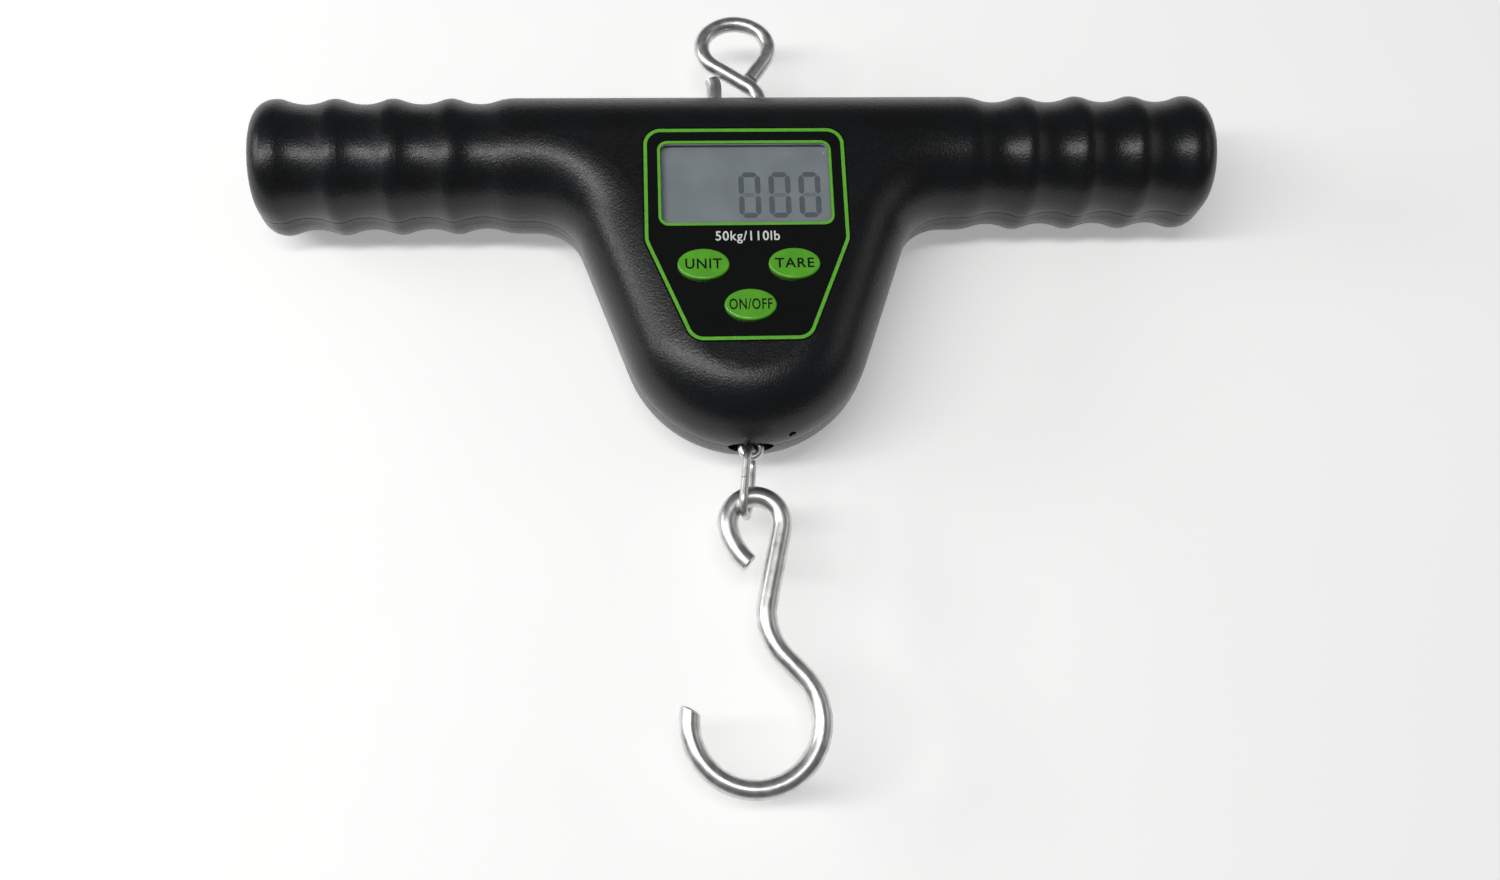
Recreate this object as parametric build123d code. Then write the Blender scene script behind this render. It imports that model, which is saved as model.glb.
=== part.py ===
from build123d import *
import math
import os

# Digital hanging scale with a T-shaped grip: ring, clamshell grip, link and hook.
# X runs along the grip, the keys face -Y and +Z is up. Lengths are in mm.
# The functions build with the grip's axis at z = 0. The finished part hangs by its
# ring, so the last step lowers everything until the inside top of the ring is at the origin.
grip_drop = 38.6

# Grip bar: a round bar with finger grooves towards both ends.
bar_r = 15.75
bar_half = 121.6
groove_start = 58.0
groove_pitch = 14.25
groove_count = 4
groove_valley_r = 13.0
groove_crest_r = 5.5
groove_entry_r = 13.0
end_corner_r = 5.8
end_dome_r = 90.0

# Body below the bar: tapered sides that end in a round bottom.
shoulder_r = 13.0
side_angle = 20.0
bottom_r = 31.0
bottom_z = -45.2
front_wall = 1.75
rear_wall = 3.85
wall = 2.2
seam = 0.12
lip = 1.1

# Label, display and keys on the front.
label_top_half = 24.9
label_mid_half = 25.0
label_low_half = 14.3
label_top_z = 0.9
label_mid_z = -29.1
label_low_z = -54.9
label_thick = 0.5
label_corner_r = 4.6
window_w = 41.2
window_h = 21.1
window_z = -13.95
window_corner_r = 1.8
key_half_w = 6.2
key_half_h = 3.95
key_rise = 1.15
key_gap = 0.22
key_travel = 0.6
key_places = {"key_unit": (-10.9, -35.6), "key_tare": (10.9, -35.6), "key_power": (0.0, -46.0)}

# Electronics behind the front.
board_back = -8.3
board_thick = 1.6
display_front = -15.0
display_thick = 2.9

# Load path: ring, upper eye bolt, load cell, lower eye bolt, link and hook.
ring_wire = 4.0
crown_r = 10.0
crown_half_angle = 40.0
ring_side_r = 6.36
loop_r = 5.8
cross_angle = 33.7
cell_w = 24.0
cell_t = 7.0
cell_top = 1.0
cell_low = -45.0
upper_eye_z = 11.1
upper_eye_r = 3.7
upper_eye_wire = 2.6
upper_shank = 5.0
lower_eye_z = -76.1
lower_eye_r = 2.3
lower_eye_wire = 1.8
lower_shank = 4.0
thread_gap = 0.03
link_wire = 2.0
link_width = 8.0
link_gap = 0.1
link_yaw = 13.3
hook_wire = 5.0
hook_eye = (0.25, -94.87)
hook_eye_r = 6.53
hook_neck = (16.63, -117.17)
hook_neck_r = 14.49
hook_bowl = (-1.34, -141.79)
hook_bowl_r = 15.36
hook_tip_angle = 170.0
link_rest_angle = 50.0
link_rest_gap = 0.12

# Ring slot in the top, link opening in the bottom and the calibration pinhole.
slot_half_x = 11.5
slot_half_y = 4.5
mouth_half_x = 5.6
mouth_half_y = 3.8
pinhole_d = 1.9
pinhole_x = 9.9
pinhole_y = -5.0

# Battery bay in the back.
cover_half_w = 13.0
cover_top = -6.0
cover_low = -58.0
cover_thick = 1.8
cover_gap = 0.15
cover_corner_r = 2.5
tab_half_w = 3.6
bay_half_w = 11.6
bay_top = -7.4
bay_low = -56.6
bay_floor = 5.4
aaa_d = 10.3
aaa_len = 44.5
aaa_y = 11.0

# Fasteners.
case_screw_places = [(-108.0, 0.0), (108.0, 0.0), (-40.0, -2.0), (40.0, -2.0), (-20.5, -56.0), (20.5, -56.0)]
case_screw_seat = 10.0
case_screw_d = 2.6
case_screw_end = -8.0
board_screw_places = [(-27.6, -3.0), (27.6, -3.0), (-14.0, -50.5), (14.0, -50.5)]
cell_screw_places = [(-8.0, -3.0), (8.0, -3.0)]


# ---------------------------------------------------------------- small helpers
def polar(centre, radius, degrees):
    angle = math.radians(degrees)
    return (centre[0] + radius * math.cos(angle), centre[1] + radius * math.sin(angle))


def flat(point):
    return (point[0], 0, point[1])


def line(a, b):
    return Edge.make_line(flat(a), flat(b))


def arc(centre, radius, start, end):
    middle = polar(centre, radius, (start + end) / 2)
    return Edge.make_three_point_arc(
        flat(polar(centre, radius, start)), flat(middle), flat(polar(centre, radius, end)))


def face_of(edges):
    return Face(Wire(edges))


def slab(sketch, y_back, y_front):
    """The sketch, drawn in X and Z, as a plate between two depths."""
    return extrude(Plane.XZ.offset(-y_back) * sketch, amount=y_back - y_front, dir=(0, -1, 0))


def oblong(half_x, half_z, centre_z=0.0):
    return Pos(0, centre_z) * Rectangle(2 * half_x, 2 * half_z)


def rounded(half_x, z_top, z_low, corner):
    return Pos(0, (z_top + z_low) / 2) * RectangleRounded(2 * half_x, z_top - z_low, corner)


def block(x0, x1, y0, y1, z0, z1):
    return Pos((x0 + x1) / 2, (y0 + y1) / 2, (z0 + z1) / 2) * Box(x1 - x0, y1 - y0, z1 - z0)


def post(place, diameter, y_back, y_front):
    """A round post or hole along Y at a place given in X and Z."""
    return slab(Pos(place[0], place[1]) * Circle(diameter / 2), y_back, y_front)


def rod(edges, diameter):
    """Round wire along a smooth path."""
    path = Wire(edges)
    start = Plane(origin=path @ 0, z_dir=path % 0)
    return sweep(start * Circle(diameter / 2), path=path)


def both_sides(shape):
    return [shape, mirror(shape, about=Plane.YZ)]


def join(shapes):
    whole = shapes[0]
    for shape in shapes[1:]:
        whole = whole + shape
    return whole


# ---------------------------------------------------------------- clamshell form
def side_normal():
    angle = math.radians(side_angle)
    return (math.cos(angle), -math.sin(angle))


def side_point(centre, distance):
    normal = side_normal()
    return (centre[0] + distance * normal[0], centre[1] + distance * normal[1])


def shoulder_centre():
    """Centre of the hollow round corner between the bar and the tapered side."""
    normal = side_normal()
    reach = bottom_z * normal[1] + bottom_r + shoulder_r
    height = -bar_r - shoulder_r
    return ((reach - height * normal[1]) / normal[0], height)


def bar_edges(inset, first_x):
    """The bar's grooved outline from first_x out to the end, as a height over X."""
    height = bar_r - inset
    reach = groove_valley_r + groove_crest_r
    half_turn = math.degrees(math.asin(groove_pitch / 2 / reach))
    centre_rise = math.sqrt(reach ** 2 - (groove_pitch / 2) ** 2)
    crest_r = groove_crest_r - inset
    valley_r = groove_valley_r + inset
    valley_z = bar_r - groove_crest_r + centre_rise
    entry_reach = groove_valley_r + groove_entry_r
    entry_rise = valley_z - bar_r + groove_entry_r
    entry_run = math.sqrt(entry_reach ** 2 - entry_rise ** 2)
    entry_turn = math.degrees(math.asin(entry_run / entry_reach))
    entry = (groove_start + groove_pitch / 2 - entry_run, bar_r - groove_entry_r)
    edges = [line((first_x, height), (entry[0], height))]
    edges.append(arc(entry, groove_entry_r - inset, 90, 90 - entry_turn))
    for index in range(groove_count):
        valley = (groove_start + (index + 0.5) * groove_pitch, valley_z)
        edges.append(arc(valley, valley_r, 270 - (half_turn if index else entry_turn), 270 + half_turn))
        last = (groove_start + (index + 1) * groove_pitch, bar_r - groove_crest_r)
        edges.append(arc(last, crest_r, 90 + half_turn, 90))
        if index < groove_count - 1:
            edges.append(arc(last, crest_r, 90, 90 - half_turn))
    dome = (bar_half - end_dome_r, 0.0)
    rise = bar_r - end_corner_r
    run = math.sqrt((end_dome_r - end_corner_r) ** 2 - rise ** 2)
    corner = (dome[0] + run, rise)
    lean = math.degrees(math.atan2(rise, run))
    edges.append(line((last[0], height), (corner[0], height)))
    edges.append(arc(corner, end_corner_r - inset, 90, lean))
    edges.append(arc(dome, end_dome_r - inset, lean, 0))
    return edges


def handle_face(inset):
    """Half of a handle's outline, from the bar's axis up, beyond the shoulder."""
    first_x = shoulder_centre()[0]
    edges = bar_edges(inset, first_x)
    edges.append(line((bar_half - inset, 0), (first_x, 0)))
    edges.append(line((first_x, 0), (first_x, bar_r - inset)))
    return face_of(edges)


def edge_section(inset, depth):
    """The rounded edge of the form, in (outwards, depth) measured from its centre line."""
    radius = bar_r - inset
    middle = radius * math.sqrt(0.5)
    wire = Wire([
        Edge.make_line((0, 0, 0), (radius, 0, 0)),
        Edge.make_line((radius, 0, 0), (radius, -depth, 0)),
        Edge.make_three_point_arc((radius, -depth, 0), (middle, -depth - middle, 0), (0, -depth - radius, 0)),
        Edge.make_line((0, -depth - radius, 0), (0, 0, 0)),
    ])
    return Face(wire)


def core_face():
    """The flat middle of the body, inside the rounded edge."""
    shoulder = shoulder_centre()
    outer = shoulder_r + bar_r
    inner = bottom_r - bar_r
    bottom = (0.0, bottom_z)
    side_top = side_point(shoulder, -outer)
    side_low = side_point(bottom, inner)
    edges = [
        line((-shoulder[0], 0), (shoulder[0], 0)),
        arc(shoulder, outer, 90, 180 - side_angle),
        line(side_top, side_low),
        arc(bottom, inner, -side_angle, -180 + side_angle),
        line((-side_low[0], side_low[1]), (-side_top[0], side_top[1])),
        arc((-shoulder[0], shoulder[1]), outer, side_angle, 90),
    ]
    return face_of(edges)


def half_form(inset, depth):
    """One half of the grip, from the parting plane towards -Y, shrunk by the inset."""
    radius = bar_r - inset
    shoulder = shoulder_centre()
    bottom = (0.0, bottom_z)
    towards = (0, -1, 0)
    section = edge_section(inset, depth)

    half_span = shoulder[0]
    middle = block(-half_span, half_span, -depth, 0, 0, radius)
    barrel = Pos(0, -depth, 0) * Rot(0, 90, 0) * Cylinder(radius, 2 * half_span)
    middle += barrel & block(-half_span, half_span, -depth - radius, -depth, 0, radius)
    face = handle_face(inset)
    handle = extrude(face, amount=depth, dir=towards)
    handle += extrude(mirror(face, about=Plane.XY), amount=depth, dir=towards)
    handle += Pos(0, -depth, 0) * revolve(face, axis=Axis.X, revolution_arc=180)

    shoulder_plane = Plane(origin=flat((shoulder[0], shoulder[1] + shoulder_r + bar_r)),
                           x_dir=(0, 0, -1), z_dir=(1, 0, 0))
    shoulder_axis = Axis(flat(shoulder), (0, -1, 0))
    hollow = revolve(shoulder_plane * section, axis=shoulder_axis, revolution_arc=90 - side_angle)

    normal = side_normal()
    side_top = side_point(shoulder, -shoulder_r - bar_r)
    side_low = side_point(bottom, bottom_r - bar_r)
    side_plane = Plane(origin=flat(side_top), x_dir=flat(normal), z_dir=(-normal[1], 0, normal[0]))
    down = (normal[1], 0, -normal[0])
    side = extrude(side_plane * section, amount=math.dist(side_top, side_low), dir=down)

    bottom_plane = Plane(origin=flat(side_low), x_dir=flat(normal), z_dir=(-normal[1], 0, normal[0]))
    bottom_axis = Axis(flat(bottom), (0, 1, 0))
    base = revolve(bottom_plane * section, axis=bottom_axis, revolution_arc=180 - 2 * side_angle)

    core = extrude(core_face(), amount=depth + radius, dir=towards)
    return join([core, base] + both_sides(side) + both_sides(hollow) + [middle] + both_sides(handle))


def rear_form(inset):
    return mirror(half_form(inset, rear_wall), about=Plane.XZ)


def outline_plate(inset, y_back, y_front):
    """A flat plate with the grip's parting outline, shrunk by the inset."""
    thick = y_back - y_front
    shoulder = shoulder_centre()
    bottom = (0.0, bottom_z)
    right = [
        line((shoulder[0], 0), (shoulder[0], -bar_r + inset)),
        arc(shoulder, shoulder_r + inset, 90, 180 - side_angle),
        line(side_point(shoulder, -shoulder_r - inset), side_point(bottom, bottom_r - inset)),
    ]
    left = [edge.mirror(Plane.YZ) for edge in reversed(right)]
    base = arc(bottom, bottom_r - inset, -side_angle, -180 + side_angle)
    body = face_of([line((-shoulder[0], 0), (shoulder[0], 0))] + right + [base] + left)
    half_w = shoulder[0]
    top_z = bar_r - inset
    corners = [(-half_w, 0), (half_w, 0), (half_w, top_z), (-half_w, top_z)]
    top = Face(Wire.make_polygon([flat(point) for point in corners], close=True))
    handle = handle_face(inset)
    faces = [body, top] + both_sides(handle) + both_sides(mirror(handle, about=Plane.XY))
    plates = [extrude(face, amount=thick, dir=(0, -1, 0)) for face in faces]
    return Pos(0, y_back, 0) * join(plates)


def handle_ribs(form, y_from, y_to):
    """Thin webs across the handles under the crests of the grip."""
    plates = []
    for index in range(groove_count + 1):
        x = groove_start + index * groove_pitch
        plates += both_sides(block(x - 0.6, x + 0.6, y_from, y_to, -20, 20))
    webs = form & join(plates)
    hollow = Rot(0, 90, 0) * Cylinder(9.0, 2 * bar_half)
    return webs - hollow


def ring_slot():
    mouth = RectangleRounded(2 * slot_half_x, 2 * slot_half_y, 3.0)
    return Pos(0, 0, bar_r) * extrude(mouth, amount=12, both=True)


def link_mouth():
    return Pos(0, 0, bottom_z - bottom_r) * extrude(Ellipse(mouth_half_x, mouth_half_y), amount=10, both=True)


def label_sketch(grow):
    points = [
        (-label_top_half - grow, label_top_z + grow), (label_top_half + grow, label_top_z + grow),
        (label_mid_half + grow, label_mid_z), (label_low_half + grow * 0.7, label_low_z - grow),
        (-label_low_half - grow * 0.7, label_low_z - grow), (-label_mid_half - grow, label_mid_z),
    ]
    return fillet(Polygon(*points, align=None).vertices(), label_corner_r + grow)


def window_sketch(grow):
    width, height = window_w + 2 * grow, window_h + 2 * grow
    return Pos(0, window_z) * RectangleRounded(width, height, window_corner_r + grow)


def key_sketch(place, grow):
    return Pos(place[0], place[1]) * Ellipse(key_half_w + grow, key_half_h + grow)


front_face = -(front_wall + bar_r)
front_inside = front_face + wall
label_floor = front_face + label_thick - 0.05
board_front = board_back - board_thick
switch_top = board_front - 2.7


# ---------------------------------------------------------------- housing parts
def front_shell():
    outer = half_form(0.0, front_wall)
    shell = outer - half_form(wall, front_wall)
    shell -= outline_plate(lip, 0.0, -lip - 0.1)
    shell -= outline_plate(-1.0, 0.0, -seam) - outline_plate(lip, 0.0, -seam)
    shell += handle_ribs(half_form(wall - 0.3, front_wall), -22, -lip - 0.3)
    bosses = [post(place, 6.4, -seam, front_inside - 0.3) for place in case_screw_places]
    shell += join(bosses) & half_form(wall - 0.3, front_wall)
    for place in board_screw_places:
        shell += post(place, 4.6, board_front, front_inside - 0.3)
    for place in case_screw_places:
        shell -= post(place, case_screw_d + 0.04, 1, case_screw_end - 0.8)
    for place in board_screw_places:
        shell -= post(place, 1.7, board_front + 1, front_inside + 0.6)
    shell -= slab(label_sketch(0.12), label_floor, front_face - 2)
    shell -= slab(window_sketch(0.6), board_front, front_face - 1)
    for place in key_places.values():
        shell -= slab(key_sketch(place, key_gap), board_front, front_face - 2)
    shell -= ring_slot()
    shell -= link_mouth()
    lean = math.degrees(math.acos(pinhole_x / bottom_r))
    tip = polar((0, bottom_z), bottom_r, -lean)
    pin = Rot(0, 90 + lean, 0) * Cylinder(pinhole_d / 2, 12)
    return shell - Pos(tip[0], pinhole_y, tip[1]) * pin


def bay_block(grow, y_from, y_to):
    return block(-bay_half_w - grow, bay_half_w + grow, y_from, y_to, bay_low - grow, bay_top + grow)


def rear_shell():
    outer = rear_form(0.0)
    shell = outer - rear_form(wall)
    shell -= outline_plate(-1.0, seam, 0.0) - outline_plate(lip, seam, 0.0)
    shell += outline_plate(lip + 0.05, 0.5, -lip) - outline_plate(wall, 0.5, -lip)
    shell += handle_ribs(rear_form(wall - 0.3), 0.4, 24)
    bosses = [post(place, 8.4, 24, seam) for place in case_screw_places]
    bosses += [post(place, 5.6, 24, cell_t / 2 + 0.05) for place in cell_screw_places]
    shell += join(bosses) & rear_form(wall - 0.3)
    opening = slab(rounded(cover_half_w + cover_gap, cover_top + cover_gap, cover_low - cover_gap,
                           cover_corner_r), 24, 14)
    shell -= opening
    bay_wall = cover_half_w - bay_half_w + 1.0
    shell += bay_block(bay_wall, bay_floor - 1.1, 24) & rear_form(cover_thick + 0.1)
    shell -= bay_block(0.0, bay_floor, 24)
    for place in case_screw_places:
        shell -= post(place, 3.0, 24, -1)
        shell -= post(place, 6.2, 24, case_screw_seat)
    for place in cell_screw_places:
        shell -= post(place, 3.05, 13, 0)
    for x in (-aaa_d / 2 - 0.35, aaa_d / 2 + 0.35):
        shell -= block(x - 1.6, x + 1.6, aaa_y - 2.6, aaa_y - 1.8, bay_low - 6, bay_low + 1)
    cover_inside = rear_wall + bar_r - cover_thick
    shell -= slab(oblong(tab_half_w + 0.3, 1.3, cover_top - 0.1), cover_inside + 0.1, cover_inside - 1.5)
    shell -= ring_slot()
    return shell - link_mouth()


def battery_cover():
    """The door follows the back of the grip: a tab at its top, a latch and thumb ridges below."""
    plate = slab(rounded(cover_half_w, cover_top, cover_low, cover_corner_r), 24, 14)
    cover = (rear_form(0.0) - rear_form(cover_thick)) & plate
    back = rear_wall + bar_r
    for index in range(6):
        z = cover_low + 5.0 + 1.9 * index
        cover -= slab(rounded(5.5, z + 0.45, z - 0.45, 0.44), back + 1, back - 0.6)
    inside = back - cover_thick
    latch = block(-3.4, 3.4, inside - 1.1, inside + 0.3, cover_low + 2.4, cover_low + 3.6)
    tab = block(-tab_half_w, tab_half_w, inside - 1.2, inside + 0.1, cover_top - 1.0, cover_top + 1.0)
    return cover + latch + tab


def label_overlay():
    overlay = slab(label_sketch(0.0), label_floor, front_face - 0.05)
    overlay -= slab(window_sketch(0.0), 0, front_face - 2)
    for place in key_places.values():
        overlay -= slab(key_sketch(place, key_gap), 0, front_face - 2)
    return overlay


def display_window():
    """Clear plate: its raised middle fills the label's window, its rim sits in the shell."""
    rim = slab(window_sketch(0.5), front_inside - 0.02, label_floor + 0.02)
    return rim + slab(window_sketch(-0.1), label_floor + 0.5, front_face)


def key(place):
    """Key cap with a rounded edge, a retaining flange and a short plunger."""
    cap = slab(key_sketch(place, 0.0), front_inside + 0.1, front_face - key_rise)
    rim = cap.faces().sort_by(Axis.Y)[0].edges()
    cap = fillet(rim, 0.45)
    flange = slab(key_sketch(place, 1.0), front_inside + 1.1, front_inside + 0.1)
    stem = post(place, 3.0, switch_top - key_travel - 0.1, front_inside + 1.0)
    return cap + flange + stem


# ---------------------------------------------------------------- electronics
def display_frame():
    frame = slab(rounded(24.5, 0.8, -28.7, 1.5), board_front - 0.05, front_inside + 0.1)
    glass = slab(rounded(23.2, -0.45, -27.45, 0.4), board_front, display_front - 0.02)
    return frame - glass - slab(window_sketch(1.8), board_front, front_inside - 1)


def display_module():
    back = display_front + display_thick
    glass = slab(oblong(23.0, 13.35, window_z), back, display_front)
    polariser = slab(oblong(22.0, 12.2, window_z), display_front, display_front - 0.12)
    return glass + polariser


def zebra_strips():
    front = display_front + display_thick
    return [slab(oblong(20.0, 1.0, z), board_front - 0.03, front + 0.03) for z in (-2.2, -25.7)]


def circuit_board():
    outline = Polygon((-31, 3), (31, 3), (31, -18), (16.2, -55.5), (-16.2, -55.5), (-31, -18), align=None)
    board = slab(fillet(outline.vertices(), 2.0), board_back, board_front)
    for place in board_screw_places:
        board -= post(place, 2.3, 0, board_front - 1)
    return board


def tact_switches():
    switches = []
    for place in key_places.values():
        body = slab(Pos(*place) * RectangleRounded(6.0, 6.0, 0.5), board_front - 0.02, board_front - 2.1)
        switches.append(body + post(place, 3.2, board_front - 2.0, switch_top))
    side_switch = block(6.2, 11.2, board_back + 0.02, board_back + 3.4, -55.0, -51.5)
    plunger = Pos(8.7, board_back + 1.8, -55.6) * Cylinder(0.9, 1.6)
    switches.append(side_switch + plunger)
    return switches


def board_components():
    back = board_back + 0.02
    blob = Pos(-4.0, 0, -13.0) * Rot(-90, 0, 0) * Cylinder(6.0, 1.5)
    blob = Pos(0, back + 0.75, 0) * fillet(blob.edges().sort_by(Axis.Y)[-1], 0.7)
    parts = [blob, block(-20.0, -13.0, back, back + 1.6, -12.0, -8.0)]
    crystal = slab(Pos(16, -12) * RectangleRounded(8.0, 3.2, 1.5), back + 2.2, back)
    parts.append(crystal)
    for x, z in ((10, -5), (14, -5), (18, -5), (-12, -20), (-15, -20), (-18, -20), (20, -20), (20, -24)):
        parts.append(block(x, x + 2.0, back, back + 0.7, z, z + 1.2))
    parts.append(block(-22.0, -16.0, back, back + 3.2, -31.0, -26.0))
    return parts


# ---------------------------------------------------------------- load path
def load_cell():
    """S-shaped beam: two cuts from opposite sides and a waisted hole between them."""
    half = cell_w / 2
    middle = (cell_top + cell_low) / 2
    sketch = oblong(half, (cell_top - cell_low) / 2, middle)
    sketch = fillet(sketch.vertices(), 1.0)
    beam = slab(sketch, cell_t / 2, -cell_t / 2)
    beam -= slab(Pos(-2.5, cell_top - 11) * RectangleRounded(19.2, 2.0, 0.9), 5, -5)
    beam -= slab(Pos(-half, cell_top - 11) * Rectangle(6, 2.0), 5, -5)
    beam -= slab(Pos(2.5, cell_low + 11) * RectangleRounded(19.2, 2.0, 0.9), 5, -5)
    beam -= slab(Pos(half, cell_low + 11) * Rectangle(6, 2.0), 5, -5)
    for z in (middle + 4.5, middle - 4.5):
        beam -= post((0, z), 8.0, 5, -5)
    beam -= slab(oblong(1.5, 4.5, middle), 5, -5)
    beam -= Pos(0, 0, cell_top) * Cylinder(upper_shank / 2, 15)
    beam -= Pos(0, 0, cell_low) * Cylinder(lower_shank / 2, 16)
    for place in cell_screw_places:
        beam -= post(place, 3.2, 5, -5)
    return beam


def strain_gauges():
    middle = (cell_top + cell_low) / 2
    pads = []
    for z in (middle + 4.5, middle - 4.5):
        for x in (-7.2, 7.2):
            front = -cell_t / 2
            pads.append(block(x - 2.4, x + 2.4, front - 0.27, front - 0.02, z - 1.6, z + 1.6))
    return pads


def eye(radius, wire):
    return Torus(radius, wire / 2)


def upper_eye_bolt():
    """Forged eye that stands across the grip, so that the ring's wire passes through it."""
    head = Pos(0, 0, upper_eye_z) * Rot(0, 90, 0) * eye(upper_eye_r, upper_eye_wire)
    top = upper_eye_z - upper_eye_r
    foot = cell_top - 7.0
    shank = Pos(0, 0, (top + foot) / 2) * Cylinder(upper_shank / 2 - thread_gap, top - foot)
    bore = Rot(0, 90, 0) * Cylinder(upper_eye_r - upper_eye_wire / 2, 8)
    return head + shank - Pos(0, 0, upper_eye_z) * bore


def lower_eye_bolt():
    """Long stud that ends in a small wire eye in the plane of the front."""
    head = Pos(0, 0, lower_eye_z) * Rot(90, 0, 0) * eye(lower_eye_r, lower_eye_wire)
    neck_top = lower_eye_z + lower_eye_r + 1.9
    top = cell_low + 7.5
    shank = Pos(0, 0, (top + neck_top) / 2) * Cylinder(lower_shank / 2 - thread_gap, top - neck_top)
    neck = Pos(0, 0, neck_top - 1.0) * Cone(lower_eye_wire / 2, lower_shank / 2 - thread_gap, 2.0)
    hole = Pos(0, 0, lower_eye_z) * Rot(90, 0, 0) * Cylinder(lower_eye_r - lower_eye_wire / 2, 6)
    return head + (shank + neck - hole)


def hex_nut(flats, height, bore, z):
    nut = extrude(RegularPolygon(flats / 2, 6, major_radius=False) - Circle(bore / 2), amount=height)
    return Pos(0, 0, z) * nut


def lock_nuts():
    upper = hex_nut(8.0, 3.4, upper_shank, cell_top + 0.02)
    lower = hex_nut(7.0, 3.2, lower_shank, cell_low - 3.22)
    return [upper, lower]


def hang_ring():
    """One length of wire bent into a figure eight: large loop above, small loop inside the grip."""
    crown = (0.0, grip_drop + ring_wire / 2 - crown_r)
    turn = 90 - crown_half_angle
    right = polar(crown, crown_r - ring_side_r, turn)
    left = (-right[0], right[1])
    cross_start = polar(left, ring_side_r, 270 - cross_angle)
    down = (math.cos(math.radians(cross_angle)), -math.sin(math.radians(cross_angle)))
    touch_x = loop_r * math.sin(math.radians(cross_angle))
    length = (touch_x - cross_start[0]) / down[0]
    cross_end = (touch_x, cross_start[1] + length * down[1])
    loop = (0.0, cross_end[1] - loop_r * math.cos(math.radians(cross_angle)))
    end_turn = -35.0
    end_start = polar(right, ring_side_r, end_turn)
    end_tip = polar(end_start, 6.6, end_turn - 90)
    up_end = (-loop_r, loop[1] + 3.8)
    curl = (up_end[0] - 8.0, up_end[1])
    edges = [
        line(end_tip, end_start),
        arc(right, ring_side_r, end_turn, turn),
        arc(crown, crown_r, turn, 180 - turn),
        arc(left, ring_side_r, 180 - turn, 270 - cross_angle),
        line(cross_start, cross_end),
        arc(loop, loop_r, 90 - cross_angle, -180),
        line((-loop_r, loop[1]), up_end),
        arc(curl, 8.0, 0, 21),
    ]
    return rod(edges, ring_wire)


def hook_contact():
    """Where the middle of the link's wire rests inside the hook's eye."""
    reach = hook_eye_r - hook_wire / 2 - link_wire / 2 - link_rest_gap
    return polar(hook_eye, reach, 90 + link_rest_angle)


def link_apex():
    return (0.0, lower_eye_z - lower_eye_r + lower_eye_wire / 2 + link_wire / 2 + link_gap)


def link_plane():
    """Local X runs across the link and local Y runs up it, from the top of its wire."""
    top = Vector(*flat(link_apex()))
    low = Vector(*flat(hook_contact()))
    up = (top - low).normalized()
    angle = math.radians(link_yaw)
    across = Vector(math.sin(angle), math.cos(angle), 0)
    across = (across - up * across.dot(up)).normalized()
    return Plane(origin=top, x_dir=across, z_dir=across.cross(up))


def link():
    """Oval chain link bent from wire, with its butt joint half-way up one side."""
    half = link_width / 2
    length = math.dist(link_apex(), hook_contact())
    low = -length + half
    middle = -length / 2
    joint = 0.08
    edges = [
        Edge.make_line((-half, middle + joint, 0), (-half, -half, 0)),
        Edge.make_three_point_arc((-half, -half, 0), (0, 0, 0), (half, -half, 0)),
        Edge.make_line((half, -half, 0), (half, low, 0)),
        Edge.make_three_point_arc((half, low, 0), (0, low - half, 0), (-half, low, 0)),
        Edge.make_line((-half, low, 0), (-half, middle - joint, 0)),
    ]
    return link_plane() * rod(edges, link_wire)


def cross_tangent(first, first_r, second, second_r, turn):
    """Ends of the line that leaves one round bend and joins one that turns the other way."""
    along = math.degrees(math.atan2(second[1] - first[1], second[0] - first[0]))
    spread = math.degrees(math.acos((first_r + second_r) / math.dist(first, second)))
    angle = along + turn * spread
    return angle, polar(first, first_r, angle), polar(second, second_r, angle + 180)


def hook():
    """S-hook of round wire: an open eye at the top and an open bowl below."""
    eye_end = 188.0
    tail_r = 15.0
    tail = polar(polar(hook_eye, hook_eye_r, eye_end), tail_r, eye_end - 180)
    out_angle, out_start, out_end = cross_tangent(hook_eye, hook_eye_r, hook_neck, hook_neck_r, 1)
    in_angle, in_start, in_end = cross_tangent(hook_neck, hook_neck_r, hook_bowl, hook_bowl_r, -1)
    edges = [
        arc(tail, tail_r, eye_end + 40, eye_end),
        arc(hook_eye, hook_eye_r, eye_end, out_angle),
        line(out_start, out_end),
        arc(hook_neck, hook_neck_r, out_angle + 180, in_angle + 360),
        line(in_start, in_end),
        arc(hook_bowl, hook_bowl_r, in_angle + 180, hook_tip_angle - 370),
    ]
    wire = rod(edges, hook_wire)
    tip = polar(hook_bowl, hook_bowl_r, hook_tip_angle)
    blade = Pos(tip[0], 0, tip[1]) * Rot(0, 27, 0) * Pos(0, 0, 4.6) * Box(12, 12, 8)
    wire -= blade
    rims = [edge for face in wire.faces().filter_by(GeomType.PLANE) for edge in face.edges()]
    return chamfer(rims, 0.4)


# ---------------------------------------------------------------- power
def batteries():
    barrel = aaa_len - 0.8
    cell = Cylinder(aaa_d / 2, barrel)
    cell = fillet(cell.edges().filter_by(GeomType.CIRCLE), 0.5)
    cell += Pos(0, 0, aaa_len / 2 - 0.1) * Cylinder(1.9, 1.0)
    x = aaa_d / 2 + 0.35
    top = bay_top - 0.95 - barrel / 2
    low = bay_low + 0.95 + barrel / 2
    upright = Pos(-x, aaa_y, top - 0.4) * cell
    flipped = Pos(x, aaa_y, low + 0.4) * Rot(180, 0, 0) * cell
    return [upright, flipped]


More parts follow.
